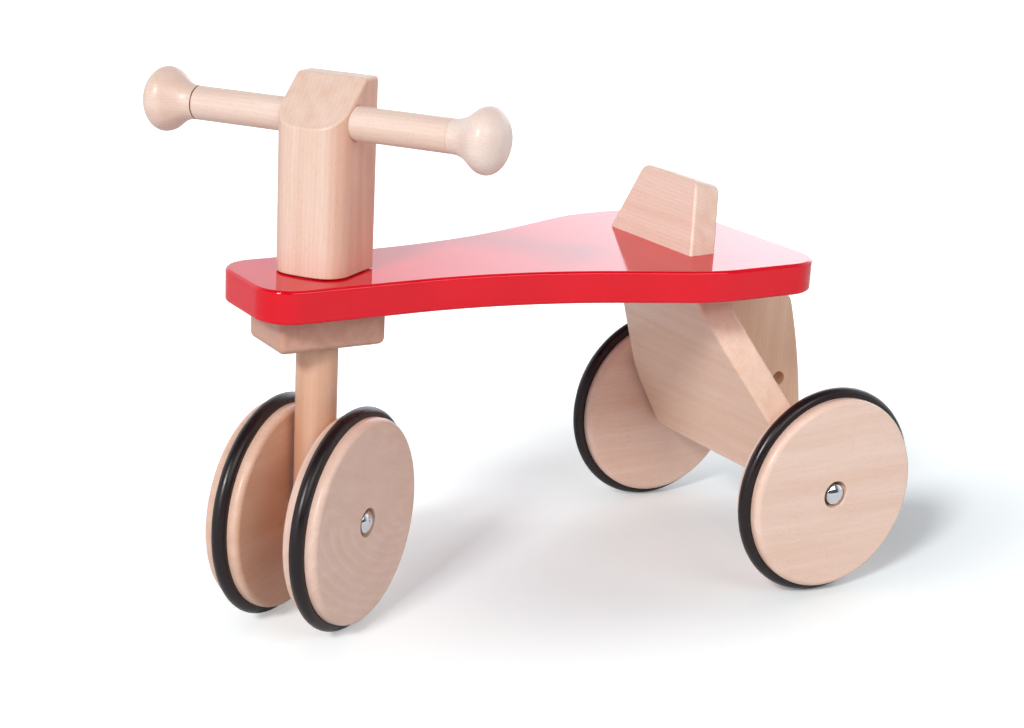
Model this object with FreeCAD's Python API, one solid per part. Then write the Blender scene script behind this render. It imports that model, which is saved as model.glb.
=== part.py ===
import FreeCAD, Part
import math
import os

# A wooden four-wheeled ride-on toy for a small child, in millimetres.
# X points forward, Y to the rider's left and Z up. The origin lies on the floor, under the
# middle of the toy's box. A red lacquered seat board stands on a leaning rear panel, which
# carries the rear axle, and on a turning front post with two wheels close together.
# The front end is drawn straight ahead and then turned to the left by rest_turn_angle.

# Clearances
glue_gap = 0.05
running_gap = 0.05
side_play = 0.2
overrun = 5.0
parallel_share = 1e-6

# Layout
wheelbase = 382.8
rest_turn_angle = 34.6
turn_limit_angle = 45.0
rear_track = 232.0
front_track = 62.5

# Wheels: beech discs with a round rubber ring in a groove of the rim
wheel_wood_radius = 76.0
wheel_width = 27.5
wheel_edge_radius = 4.5
tyre_section_radius = 5.5
tyre_stand_out = 6.5
tyre_groove_gap = 0.15
hub_recess_radius = 10.8
hub_recess_depth = 6.0

# Axles, hub bushes, spacers and push-on caps
axle_radius = 5.0
hub_bush_radius = 8.0
spacer_radius = 7.5
rear_spacer_length = 3.55
cap_radius = 8.3
cap_seat_gap = 0.3
cap_edge_depth = 1.0
cap_crown_height = 3.2
axle_end_depth = 0.6

# Seat board
board_thickness = 24.0
board_top_height = 262.5
board_rear_behind_axle = -7.0
board_front_ahead_of_post = 58.9
board_nose_length = 108.0
board_nose_half_width = 48.0
board_nose_corner_radius = 26.0
board_seat_half_width = 102.3
board_seat_corner_radius = 30.0
board_flare_angle = 21.0
board_waist_radius = 450.0
board_shoulder_radius = 110.0
board_edge_radius = 2.5

# Seat stop behind the rider
stop_thickness = 24.0
stop_front_from_axle = 101.0
stop_height = 53.5
stop_base_half_width = 54.5
stop_taper_angle = 19.5
stop_lean_angle = 15.3
stop_corner_radius = 9.0
stop_edge_radius = 2.5

# Rear panel, leaning forward as it rises
panel_thickness = 24.0
panel_lean_angle = 28.8
panel_below_axle = 11.5
panel_shoulder_above_axle = 28.5
panel_shoulder_radius = 115.0
panel_flare_angle = 21.0
panel_corner_radius = 7.0
panel_edge_radius = 3.0

# Rear brace, a plate in the middle behind the panel, with a tow hole
brace_thickness = 24.0
brace_top_start = 12.0
brace_heel_reach = 57.5
brace_heel_above_axle = 21.5
brace_shoulder_reach = 37.0
brace_back_bulge = 2.8
brace_shoulder_below_board = 30.5
brace_bottom_above_axle = 6.5
brace_shoulder_radius = 12.0
brace_heel_radius = 12.0
brace_edge_radius = 3.0
tow_hole_radius = 6.0
tow_hole_reach = 30.5
tow_hole_above_heel = 35.0

# Bearing block under the nose of the board
block_length = 82.0
block_half_width = 27.0
block_height = 27.0
block_edge_radius = 5.0

# Steering shaft, its bushes, thrust washer and stop pin
shaft_radius = 15.0
shaft_below_axle = 22.5
shaft_below_bar = 10.6
shaft_edge_radius = 2.0
steering_bush_wall = 2.5
thrust_washer_radius = 22.0
thrust_washer_thickness = 0.8
stop_pin_radius = 3.0
stop_pin_reach = 22.5
stop_pin_inner_reach = 10.0
stop_pin_play = 0.5
stop_pin_gap = 0.3

# Head block that the handlebar passes through
head_half_width = 27.5
head_depth = 55.0
head_front_ahead_of_post = 25.5
head_front_radius = 100.0
head_corner_radius = 18.0
head_top_height = 399.0
head_flat_length = 17.5
head_slope_angle = 41.0
head_edge_radius = 2.5
head_foot_edge_radius = 1.0
head_pin_radius = 4.0
head_pin_height_share = 0.445
head_pin_length = 46.0

# Handlebar and its turned knobs
bar_radius = 12.0
bar_below_head_top = 29.4
bar_joint_reach = 99.4
tenon_radius = 7.0
tenon_length = 22.0
knob_neck_length = 1.0
knob_radius = 23.0
knob_waist_reach = 26.5
knob_length = 40.5
knob_neck_slope_share = 0.5
knob_shoulder_slope_share = 0.36
round_pull_share = 0.5523

# Dowels and screws
dowel_radius = 4.0
dowel_depth = 16.0
stop_dowel_reach = 30.0
panel_dowel_reach = 38.0
brace_dowel_inset = 9.0
brace_dowel_spacing = 62.0
screw_radius = 2.0
screw_head_radius = 4.2
screw_head_height = 2.6
screw_bite = 16.0
screw_end_margin = 11.0
screw_side_margin = 8.0

# Worked-out places
wheel_radius = wheel_wood_radius + tyre_stand_out
tyre_ring_radius = wheel_radius - tyre_section_radius
axle_height = wheel_radius
turn = math.radians(rest_turn_angle)
turned_ring_reach = math.cos(turn) * tyre_ring_radius
turned_track_reach = math.sin(turn) * front_track / 2
wheel_front_reach = turned_ring_reach + turned_track_reach + tyre_section_radius
turned_knob_reach = math.sin(turn) * (bar_joint_reach + knob_waist_reach)
turned_round_length = math.sin(turn) * (knob_length - knob_waist_reach)
turned_round_radius = math.cos(turn) * knob_radius
knob_front_reach = turned_knob_reach + math.hypot(turned_round_length, turned_round_radius)
front_reach = max(wheel_front_reach, knob_front_reach)
rear_axle_x = (wheel_radius - wheelbase - front_reach) / 2
steering_x = rear_axle_x + wheelbase
board_rear_x = rear_axle_x - board_rear_behind_axle
board_front_x = steering_x + board_front_ahead_of_post
board_bottom_height = board_top_height - board_thickness
block_bottom_height = board_bottom_height - block_height
head_bottom_height = board_top_height + thrust_washer_thickness
head_front_x = steering_x + head_front_ahead_of_post
head_rear_x = head_front_x - head_depth
steering_bush_radius = shaft_radius + steering_bush_wall
stop_pocket_depth = (stop_pin_radius + stop_pin_play) * 2
stop_pin_height = board_bottom_height - stop_pin_radius - stop_pin_play
panel_half_width = (rear_track - wheel_width) / 2 - side_play - rear_spacer_length
panel_bottom_height = axle_height - panel_below_axle
panel_shoulder_height = axle_height + panel_shoulder_above_axle
brace_heel_height = axle_height + brace_heel_above_axle
brace_bottom_height = axle_height + brace_bottom_above_axle
brace_shoulder_height = board_bottom_height - brace_shoulder_below_board
tow_hole_height = brace_heel_height + tow_hole_above_heel
bar_height = head_top_height - bar_below_head_top
shaft_bottom_height = axle_height - shaft_below_axle
shaft_top_height = bar_height - bar_radius - shaft_below_bar
head_pin_rise = (shaft_top_height - head_bottom_height) * head_pin_height_share
head_pin_height = head_bottom_height + head_pin_rise

AXIS_X = FreeCAD.Vector(1, 0, 0)
AXIS_Y = FreeCAD.Vector(0, 1, 0)
AXIS_Z = FreeCAD.Vector(0, 0, 1)


def point(x, y, z):
    return FreeCAD.Vector(x, y, z)


def rod(start, direction, radius, length):
    return Part.makeCylinder(radius, length, start, direction)


def block(x_low, x_high, y_low, y_high, z_low, z_high):
    corner = point(x_low, y_low, z_low)
    return Part.makeBox(x_high - x_low, y_high - y_low, z_high - z_low, corner)


def line(start, end):
    return Part.LineSegment(start, end).toShape()


def arc(start, middle, end):
    return Part.Arc(start, middle, end).toShape()


def face_of(edges):
    return Part.Face(Part.Wire(edges))


def round_edges(shape, radius, wanted):
    return shape.makeFillet(radius, [edge for edge in shape.Edges if wanted(edge)])


def mirror_y(shape):
    return shape.mirror(point(0, 0, 0), AXIS_Y)


def turned(shape):
    """Turns a piece of the front end from straight ahead to its resting direction."""
    copy = shape.copy()
    copy.rotate(point(steering_x, 0, 0), AXIS_Z, rest_turn_angle)
    return copy


def runs_along(edge, direction):
    """True for a straight edge in one direction."""
    if not isinstance(edge.Curve, Part.Line):
        return False
    return edge.Curve.Direction.cross(direction).Length < parallel_share


def flat_at(edge, height):
    """True for an edge that lies in the level plane at one height."""
    box = edge.BoundBox
    return box.ZLength < glue_gap and abs(box.ZMin - height) < glue_gap


class Outline:
    """A plane outline drawn by straight runs and tangent arcs, in local (along, across)."""

    def __init__(self, place, along, across, heading):
        self.place = place
        self.at = along, across
        self.heading = heading
        self.edges = []

    def ahead(self, reach, angle):
        along = self.at[0] + reach * math.cos(angle)
        across = self.at[1] + reach * math.sin(angle)
        return along, across

    def run(self, length):
        end = self.ahead(length, self.heading)
        self.edges.append(line(self.place(*self.at), self.place(*end)))
        self.at = end

    def run_to(self, along, across):
        self.edges.append(line(self.place(*self.at), self.place(along, across)))
        self.at = along, across

    def bend(self, radius, degrees):
        """A tangent arc, to the left for a positive angle."""
        swing = math.radians(degrees)
        chord_half = radius * 2 * abs(math.sin(swing / 2 / 2))
        chord = radius * 2 * abs(math.sin(swing / 2))
        middle = self.ahead(chord_half, self.heading + swing / 2 / 2)
        end = self.ahead(chord, self.heading + swing / 2)
        self.edges.append(arc(self.place(*self.at), self.place(*middle), self.place(*end)))
        self.at = end
        self.heading = self.heading + swing


def flare_run(rise, radii, degrees):
    """The straight run of a flare that rises by `rise` with arcs of these radii at its ends."""
    angle = math.radians(degrees)
    return (rise - radii * (1 - math.cos(angle))) / math.sin(angle)


def fixing_holes(shape, pieces):
    """Cuts a hole for each dowel or screw, one glue gap larger than the piece."""
    for piece in pieces:
        shape = shape.cut(piece)
    return shape


def seat_board_blank():
    bottom = board_bottom_height
    outline = Outline(lambda x, y: point(x, y, bottom), board_front_x, 0, math.pi / 2)
    outline.run(board_nose_half_width - board_nose_corner_radius)
    outline.bend(board_nose_corner_radius, 90)
    outline.run(board_nose_length - board_nose_corner_radius)
    outline.bend(board_waist_radius, -board_flare_angle)
    rise = board_seat_half_width - board_nose_half_width
    outline.run(flare_run(rise, board_waist_radius + board_shoulder_radius, board_flare_angle))
    outline.bend(board_shoulder_radius, board_flare_angle)
    outline.run(outline.at[0] - board_rear_x - board_seat_corner_radius)
    outline.bend(board_seat_corner_radius, 90)
    outline.run_to(board_rear_x, 0)
    left = face_of(outline.edges + [line(outline.place(*outline.at), point(board_front_x, 0, bottom))])
    left = left.extrude(point(0, 0, board_thickness))
    whole = left.fuse(mirror_y(left)).removeSplitter()
    return round_edges(whole, board_edge_radius, lambda edge: not runs_along(edge, AXIS_Z))


def seat_board():
    board = seat_board_blank()
    bore = steering_bush_radius + glue_gap
    start = point(steering_x, 0, board_bottom_height - overrun)
    board = board.cut(rod(start, AXIS_Z, bore, board_thickness + overrun * 2))
    board = fixing_holes(board, stop_dowels(glue_gap) + panel_dowels(glue_gap))
    return fixing_holes(board, brace_board_dowels(glue_gap) + block_screws(glue_gap))


def lean_place(origin, lean_angle):
    """Maps (up along a leaning plate, across it) to space; a positive lean is forward."""
    lean = math.radians(lean_angle)
    rise = point(math.sin(lean), 0, math.cos(lean))
    return lambda along, across: origin + rise * along + AXIS_Y * across


def lean_normal(lean_angle):
    lean = math.radians(lean_angle)
    return point(math.cos(lean), 0, -math.sin(lean))


def above(height):
    reach = wheelbase * 2
    return block(-reach, reach, -reach, reach, height, height + reach)


def below(height):
    reach = wheelbase * 2
    return block(-reach, reach, -reach, reach, height - reach, height)


def seat_stop():
    foot = point(rear_axle_x + stop_front_from_axle, 0, board_top_height)
    place = lean_place(foot, -stop_lean_angle)
    through = lean_normal(-stop_lean_angle)
    length = stop_height / math.cos(math.radians(stop_lean_angle))
    taper = math.radians(stop_taper_angle)
    corner_turn = 90 - stop_taper_angle
    cut_back = stop_corner_radius * math.tan(math.radians(corner_turn) / 2)
    outline = Outline(place, -overrun, 0, math.pi / 2)
    outline.run(stop_base_half_width + overrun * math.tan(taper))
    outline.heading = -taper
    outline.run((length + overrun) / math.cos(taper) - cut_back)
    outline.bend(stop_corner_radius, -corner_turn)
    outline.run_to(length, 0)
    closing = line(place(length, 0), place(-overrun, 0))
    plate = face_of(outline.edges + [closing]).extrude(through * -stop_thickness)
    plate = plate.fuse(mirror_y(plate)).removeSplitter()
    plate = plate.cut(below(board_top_height))

    def outer(edge):
        return not flat_at(edge, board_top_height) and not runs_along(edge, through)

    plate = round_edges(plate, stop_edge_radius, outer)
    return fixing_holes(plate, stop_dowels(glue_gap))


def panel_slope_length(height):
    """Length along the panel from the level of the axle to a height on its middle plane."""
    return (height - axle_height) / math.cos(math.radians(panel_lean_angle))


def panel_middle_x(height):
    return rear_axle_x + (height - axle_height) * math.tan(math.radians(panel_lean_angle))


def panel_level_half_depth():
    return panel_thickness / 2 / math.cos(math.radians(panel_lean_angle))


def rear_panel():
    normal = lean_normal(panel_lean_angle)
    middle = point(rear_axle_x, 0, axle_height)
    place = lean_place(middle - normal * panel_thickness / 2, panel_lean_angle)
    low = panel_slope_length(panel_bottom_height - panel_thickness / 2)
    shoulder = panel_slope_length(panel_shoulder_height)
    high = panel_slope_length(board_bottom_height + panel_thickness / 2)
    outline = Outline(place, low, 0, math.pi / 2)
    outline.run_to(low, panel_half_width)
    outline.heading = 0
    outline.run(shoulder - low)
    outline.bend(panel_shoulder_radius, -panel_flare_angle)
    slope = math.radians(panel_flare_angle)
    outline.run((high - outline.at[0]) / math.cos(slope))
    outline.run_to(high, 0)
    closing = line(place(high, 0), place(low, 0))
    plate = face_of(outline.edges + [closing]).extrude(normal * panel_thickness)
    plate = plate.fuse(mirror_y(plate)).removeSplitter()
    plate = plate.cut(above(board_bottom_height)).cut(below(panel_bottom_height))

    def corner(edge):
        box = edge.BoundBox
        low_edge = flat_at(edge, panel_bottom_height)
        return low_edge and box.YLength < glue_gap

    plate = round_edges(plate, panel_corner_radius, corner)

    def outer(edge):
        return not flat_at(edge, board_bottom_height) and edge.BoundBox.ZLength > glue_gap

    plate = round_edges(plate, panel_edge_radius, outer)
    start = point(rear_axle_x, -rear_track / 2, axle_height)
    plate = plate.cut(rod(start, AXIS_Y, axle_radius + glue_gap, rear_track))
    return fixing_holes(plate, panel_dowels(glue_gap) + brace_panel_dowels(glue_gap))


def rear_brace():
    """A plate with a rounded back, shaped in (x, z) and glued to the panel and the board."""
    back = -panel_level_half_depth()
    side_y = -brace_thickness / 2
    shoulder = point(rear_axle_x - brace_shoulder_reach, side_y, brace_shoulder_height)
    heel = point(rear_axle_x - brace_heel_reach, side_y, brace_heel_height)
    toe_x = heel.x + brace_heel_height - brace_bottom_height
    top = point(panel_middle_x(board_bottom_height) + back, side_y, board_bottom_height)
    top_end = point(rear_axle_x + brace_top_start, side_y, board_bottom_height)
    toe = point(toe_x, side_y, brace_bottom_height)
    low = point(panel_middle_x(brace_bottom_height) + back, side_y, brace_bottom_height)
    chord = heel - shoulder
    outward = point(chord.z, 0, -chord.x).normalize()
    middle = shoulder + chord / 2 + outward * brace_back_bulge
    edges = [
        line(top, top_end),
        line(top_end, shoulder),
        arc(shoulder, middle, heel),
        line(heel, toe),
        line(toe, low),
        line(low, top),
    ]
    plate = face_of(edges).extrude(point(0, brace_thickness, 0))

    def at_corner(corner):
        def found(edge):
            offset = edge.CenterOfMass - corner
            return runs_along(edge, AXIS_Y) and math.hypot(offset.x, offset.z) < glue_gap

        return found

    plate = round_edges(plate, brace_shoulder_radius, at_corner(shoulder))
    plate = round_edges(plate, brace_heel_radius, at_corner(heel))

    def outer(edge):
        box = edge.BoundBox
        middle = edge.CenterOfMass
        on_panel = abs(middle.x - panel_middle_x(middle.z) - back) < glue_gap
        return box.YLength < glue_gap and not on_panel and not flat_at(edge, board_bottom_height)

    plate = round_edges(plate, brace_edge_radius, outer)
    start = point(rear_axle_x - tow_hole_reach, -brace_thickness, tow_hole_height)
    plate = plate.cut(rod(start, AXIS_Y, tow_hole_radius, brace_thickness * 2))
    return fixing_holes(plate, brace_panel_dowels(glue_gap) + brace_board_dowels(glue_gap))


def bearing_block():
    x_low = steering_x - block_length / 2
    x_high = steering_x + block_length / 2
    body = block(x_low, x_high, -block_half_width, block_half_width,
                 block_bottom_height, board_bottom_height)
    body = round_edges(body, block_edge_radius, lambda edge: not flat_at(edge, board_bottom_height))
    start = point(steering_x, 0, block_bottom_height - overrun)
    bore = steering_bush_radius + glue_gap
    body = body.cut(rod(start, AXIS_Z, bore, block_height + overrun * 2))
    body = body.cut(stop_pocket())
    return fixing_holes(body, block_screws(glue_gap))


def stop_pocket():
    """The arc-shaped pocket behind the shaft in which the stop pin swings."""
    pin_half_angle = math.asin((stop_pin_radius + stop_pin_gap) / (steering_bush_radius + glue_gap))
    half_angle = turn_limit_angle + math.degrees(pin_half_angle)
    radius = stop_pin_reach + stop_pin_play
    start = point(steering_x, 0, board_bottom_height - stop_pocket_depth)
    pocket = Part.makeCylinder(radius, stop_pocket_depth + overrun, start, AXIS_Z, half_angle * 2)
    pocket.rotate(start, AXIS_Z, 180 - half_angle)
    return pocket


def upright_dowels(x, y_reach, z_low, z_high, gap):
    """A left and a right upright dowel."""
    places = [point(x, side * y_reach, z_low) for side in (-1, 1)]
    return [rod(place, AXIS_Z, dowel_radius + gap, z_high - z_low) for place in places]


def stop_dowels(gap):
    x = rear_axle_x + stop_front_from_axle - stop_thickness / 2
    low = board_top_height - dowel_depth - gap
    high = board_top_height + dowel_depth + gap
    return upright_dowels(x, stop_dowel_reach, low, high, gap)


def panel_dowels(gap):
    x = panel_middle_x(board_bottom_height - dowel_depth / 2)
    low = board_bottom_height - dowel_depth - gap
    high = board_bottom_height + dowel_depth + gap
    return upright_dowels(x, panel_dowel_reach, low, high, gap)


def brace_board_dowels(gap):
    x = rear_axle_x + brace_top_start + brace_dowel_inset
    start = point(x, 0, board_bottom_height - dowel_depth - gap)
    return [rod(start, AXIS_Z, dowel_radius + gap, (dowel_depth + gap) * 2)]


def brace_panel_dowels(gap):
    """Two dowels square to the panel, from its back face into both pieces."""
    normal = lean_normal(panel_lean_angle)
    place = lean_place(point(rear_axle_x, 0, axle_height), panel_lean_angle)
    pieces = []
    for step in (1, 2):
        seat = place(step * brace_dowel_spacing / 2 + axle_radius, 0)
        start = seat - normal * (panel_thickness / 2 + dowel_depth + gap)
        pieces.append(rod(start, normal, dowel_radius + gap, (dowel_depth + gap) * 2))
    return pieces


def block_screws(gap):
    """Four countersunk screws from below, through the bearing block into the board."""
    pieces = []
    x_reach = block_length / 2 - screw_end_margin
    y_reach = block_half_width - screw_side_margin
    head_height = screw_head_height + gap
    shank = block_height + screw_bite - head_height + gap
    for x_side in (-1, 1):
        for y_side in (-1, 1):
            foot = point(steering_x + x_side * x_reach, y_side * y_reach, block_bottom_height)
            head = Part.makeCone(screw_head_radius + gap, screw_radius + gap, head_height, foot, AXIS_Z)
            top = foot + AXIS_Z * head_height
            pieces.append(head.fuse(rod(top, AXIS_Z, screw_radius + gap, shank)).removeSplitter())
    return pieces


def steering_bush(z_low, z_high):
    start = point(steering_x, 0, z_low)
    sleeve = rod(start, AXIS_Z, steering_bush_radius, z_high - z_low)
    return sleeve.cut(rod(start, AXIS_Z, shaft_radius + running_gap, z_high - z_low))


def thrust_washer():
    start = point(steering_x, 0, board_top_height)
    washer = rod(start, AXIS_Z, thrust_washer_radius, thrust_washer_thickness)
    return washer.cut(rod(start, AXIS_Z, shaft_radius + side_play, thrust_washer_thickness))


def steering_shaft():
    start = point(steering_x, 0, shaft_bottom_height)
    shaft = rod(start, AXIS_Z, shaft_radius, shaft_top_height - shaft_bottom_height)
    shaft = round_edges(shaft, shaft_edge_radius, lambda edge: isinstance(edge.Curve, Part.Circle))
    axle_start = point(steering_x, -shaft_radius * 2, axle_height)
    shaft = shaft.cut(rod(axle_start, AXIS_Y, axle_radius + glue_gap, shaft_radius * 2 * 2))
    return fixing_holes(shaft, [stop_pin(glue_gap), head_pin(glue_gap)])


def stop_pin(gap):
    start = point(steering_x - stop_pin_reach, 0, stop_pin_height)
    return rod(start, AXIS_X, stop_pin_radius + gap, stop_pin_reach + stop_pin_inner_reach + gap)


def head_pin(gap):
    start = point(head_rear_x, 0, head_pin_height)
    return rod(start, AXIS_X, head_pin_radius + gap, head_pin_length + gap)


def head_blank():
    """An upright block with a straight rear, round front corners and a slightly bowed front."""
    bow = math.asin((head_half_width - head_corner_radius) / (head_front_radius - head_corner_radius))
    bow_depth = (head_front_radius - head_corner_radius) * (1 - math.cos(bow))
    side_length = head_depth - head_corner_radius - bow_depth
    outline = Outline(lambda x, y: point(x, y, head_bottom_height), head_rear_x, 0, math.pi / 2)
    outline.run(head_half_width)
    outline.heading = 0
    outline.run(side_length)
    outline.bend(head_corner_radius, math.degrees(bow) - 90)
    outline.bend(head_front_radius, -math.degrees(bow))
    closing = line(outline.place(*outline.at), outline.place(head_rear_x, 0))
    left = face_of(outline.edges + [closing]).extrude(point(0, 0, head_top_height - head_bottom_height))
    return left.fuse(mirror_y(left)).removeSplitter()


def head_block():
    """The block with a flat strip and a slope on top, bored for the handlebar and the shaft."""
    slope_start = head_rear_x + head_flat_length
    slope_end = head_front_x + overrun
    drop = (slope_end - slope_start) * math.tan(math.radians(head_slope_angle))
    side_y = -head_half_width - overrun
    wedge_points = [
        point(slope_start, side_y, head_top_height),
        point(slope_end, side_y, head_top_height - drop),
        point(slope_end, side_y, head_top_height + overrun),
        point(slope_start, side_y, head_top_height + overrun),
    ]
    wedge = Part.Face(Part.makePolygon(wedge_points + wedge_points[:1]))
    body = head_blank().cut(wedge.extrude(point(0, -side_y * 2, 0)))
    body = round_edges(body, head_edge_radius, head_edge_wanted)
    body = round_edges(body, head_foot_edge_radius, lambda edge: flat_at(edge, head_bottom_height))
    body = body.cut(rod(point(steering_x, side_y, bar_height), AXIS_Y, bar_radius + glue_gap, -side_y * 2))
    socket = shaft_top_height - head_bottom_height + overrun + glue_gap
    shaft_start = point(steering_x, 0, head_bottom_height - overrun)
    body = body.cut(rod(shaft_start, AXIS_Z, shaft_radius + glue_gap, socket))
    return fixing_holes(body, [head_pin(glue_gap)])


def head_edge_wanted(edge):
    """Every edge above the foot but the seams between the sides and the round front."""
    seam = runs_along(edge, AXIS_Z) and edge.CenterOfMass.x > head_rear_x + glue_gap
    return not seam and not flat_at(edge, head_bottom_height)


def handlebar():
    start = point(steering_x, -bar_joint_reach, bar_height)
    bar = rod(start, AXIS_Y, bar_radius, bar_joint_reach * 2)
    tenon_start = point(steering_x, -bar_joint_reach - tenon_length, bar_height)
    return bar.fuse(rod(tenon_start, AXIS_Y, tenon_radius, (bar_joint_reach + tenon_length) * 2))


def knob(side):
    """A turned knob: a short neck, an ogee and a full round end, bored for the bar's tenon."""

    def station(reach, radius):
        return point(steering_x + radius, bar_joint_reach + reach, bar_height)

    neck_end = station(knob_neck_length, bar_radius)
    widest = station(knob_waist_reach, knob_radius)
    pull = knob_waist_reach - knob_neck_length
    neck_pole = station(knob_neck_length + pull * knob_neck_slope_share, bar_radius)
    shoulder_pole = station(knob_waist_reach - pull * knob_shoulder_slope_share, knob_radius)
    ogee = Part.BezierCurve()
    ogee.setPoles([neck_end, neck_pole, shoulder_pole, widest])
    end_pull = (knob_length - knob_waist_reach) * round_pull_share
    end_pole = station(knob_waist_reach + end_pull, knob_radius)
    tip_pole = station(knob_length, knob_radius * round_pull_share)
    round_end = Part.BezierCurve()
    round_end.setPoles([widest, end_pole, tip_pole, station(knob_length, 0)])
    edges = [
        line(station(0, 0), station(0, bar_radius)),
        line(station(0, bar_radius), neck_end),
        ogee.toShape(),
        round_end.toShape(),
        line(station(knob_length, 0), station(0, 0)),
    ]
    body = face_of(edges).revolve(point(steering_x, 0, bar_height), AXIS_Y, 360)
    socket_start = point(steering_x, bar_joint_reach - overrun, bar_height)
    socket_length = tenon_length + overrun + glue_gap
    body = body.cut(rod(socket_start, AXIS_Y, tenon_radius + glue_gap, socket_length))
    if side < 0:
        body = mirror_y(body)
    return body


def wheel_profile():
    """Half section of the wooden wheel in (across from the middle, radius), outer side up."""
    side = wheel_width / 2
    edge = wheel_edge_radius
    edge_share = 1 - math.cos(math.pi / 4)
    groove = tyre_section_radius + tyre_groove_gap
    groove_half = math.sqrt(groove ** 2 - (tyre_ring_radius - wheel_wood_radius) ** 2)
    bore = hub_bush_radius + glue_gap
    return [
        ("start", -side, bore),
        ("line", -side, wheel_wood_radius - edge),
        ("arc", -side + edge * edge_share, wheel_wood_radius - edge * edge_share,
         -side + edge, wheel_wood_radius),
        ("line", -groove_half, wheel_wood_radius),
        ("arc", 0, tyre_ring_radius - groove, groove_half, wheel_wood_radius),
        ("line", side - edge, wheel_wood_radius),
        ("arc", side - edge * edge_share, wheel_wood_radius - edge * edge_share,
         side, wheel_wood_radius - edge),
        ("line", side, hub_recess_radius),
        ("line", side - hub_recess_depth, hub_recess_radius),
        ("line", side - hub_recess_depth, bore),
        ("line", -side, bore),
    ]


def turned_profile(steps, axis_x, middle_y, side):
    """Revolves a profile about the axle; `side` is the side of the toy it looks out to."""

    def station(across, radius):
        return point(axis_x, middle_y + side * across, axle_height + radius)

    at = station(*steps[0][1:])
    edges = []
    for step in steps[1:]:
        end = station(*step[-2:])
        if step[0] == "arc":
            edges.append(arc(at, station(*step[1:3]), end))
        else:
            edges.append(line(at, end))
        at = end
    return face_of(edges).revolve(point(axis_x, 0, axle_height), AXIS_Y, 360)


def wheel(axis_x, track, side):
    return turned_profile(wheel_profile(), axis_x, side * track / 2, side)


def tyre(axis_x, track, side):
    centre = point(axis_x, side * track / 2, axle_height)
    return Part.makeTorus(tyre_ring_radius, tyre_section_radius, centre, AXIS_Y)


def hub_bush(axis_x, track, side):
    inner = -wheel_width / 2
    outer = wheel_width / 2 - hub_recess_depth
    steps = [
        ("start", inner, axle_radius + running_gap),
        ("line", inner, hub_bush_radius),
        ("line", outer, hub_bush_radius),
        ("line", outer, axle_radius + running_gap),
        ("line", inner, axle_radius + running_gap),
    ]
    return turned_profile(steps, axis_x, side * track / 2, side)


def cap(axis_x, track, side):
    """A domed push-on cap on the axle's end, lying in the wheel's hub recess."""
    face = wheel_width / 2
    foot = face - hub_recess_depth + cap_seat_gap
    rim = face - cap_edge_depth
    top = rim + cap_crown_height
    end = face - axle_end_depth
    sphere = (cap_radius ** 2 + cap_crown_height ** 2) / 2 / cap_crown_height
    swing = math.asin(cap_radius / sphere) / 2
    middle = top - sphere * (1 - math.cos(swing))
    steps = [
        ("start", foot, axle_radius + glue_gap),
        ("line", foot, cap_radius),
        ("line", rim, cap_radius),
        ("arc", middle, sphere * math.sin(swing), top, 0),
        ("line", end, 0),
        ("line", end, axle_radius + glue_gap),
        ("line", foot, axle_radius + glue_gap),
    ]
    return turned_profile(steps, axis_x, side * track / 2, side)


def spacer(axis_x, inner, track, side):
    """A washer on the axle between the carrier's side and the wheel's inner face."""
    outer = (track - wheel_width) / 2 - side_play
    steps = [
        ("start", inner, axle_radius + glue_gap),
        ("line", inner, spacer_radius),
        ("line", outer, spacer_radius),
        ("line", outer, axle_radius + glue_gap),
        ("line", inner, axle_radius + glue_gap),
    ]
    return turned_profile(steps, axis_x, 0, side)


def axle(axis_x, track):
    reach = (track + wheel_width) / 2 - axle_end_depth
    return rod(point(axis_x, -reach, axle_height), AXIS_Y, axle_radius, reach * 2)


def front_spacer(side):
    """A front spacer, hollowed to sit on the round steering shaft."""
    washer = spacer(steering_x, 0, front_track, side)
    start = point(steering_x, 0, axle_height - spacer_radius * 2)
    return washer.cut(rod(start, AXIS_Z, shaft_radius + glue_gap, spacer_radius * 2 * 2))


def chassis_pieces():
    return {
        "seat_board": seat_board(),
        "seat_stop": seat_stop(),
        "seat_stop_dowels": Part.makeCompound(stop_dowels(0)),
        "rear_panel": rear_panel(),
        "rear_panel_dowels": Part.makeCompound(panel_dowels(0)),
        "rear_brace": rear_brace(),
        "rear_brace_dowels": Part.makeCompound(brace_panel_dowels(0) + brace_board_dowels(0)),
        "bearing_block": bearing_block(),
        "bearing_block_screws": Part.makeCompound(block_screws(0)),
        "upper_steering_bush": steering_bush(board_bottom_height, board_top_height),
        "lower_steering_bush": steering_bush(
            block_bottom_height, board_bottom_height - stop_pocket_depth),
        "thrust_washer": thrust_washer(),
        "rear_axle": axle(rear_axle_x, rear_track),
    }


def steering_pieces():
    return {
        "head_block": head_block(),
        "head_pin": head_pin(0),
        "steering_shaft": steering_shaft(),
        "steering_stop_pin": stop_pin(0),
        "handlebar": handlebar(),
        "front_axle": axle(steering_x, front_track),
    }


def sided_pieces(side, name):
    """The pieces that the toy has once on each side."""
    rear = (rear_axle_x, rear_track, side)
    front = (steering_x, front_track, side)
    return {
        "rear_wheel_" + name: wheel(*rear),
        "rear_tyre_" + name: tyre(*rear),
        "rear_hub_bush_" + name: hub_bush(*rear),
        "rear_cap_" + name: cap(*rear),
        "rear_spacer_" + name: spacer(rear_axle_x, panel_half_width, rear_track, side),
        "handle_knob_" + name: turned(knob(side)),
        "front_wheel_" + name: turned(wheel(*front)),
        "front_tyre_" + name: turned(tyre(*front)),
        "front_hub_bush_" + name: turned(hub_bush(*front)),
        "front_cap_" + name: turned(cap(*front)),
        "front_spacer_" + name: turned(front_spacer(side)),
    }


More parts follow.
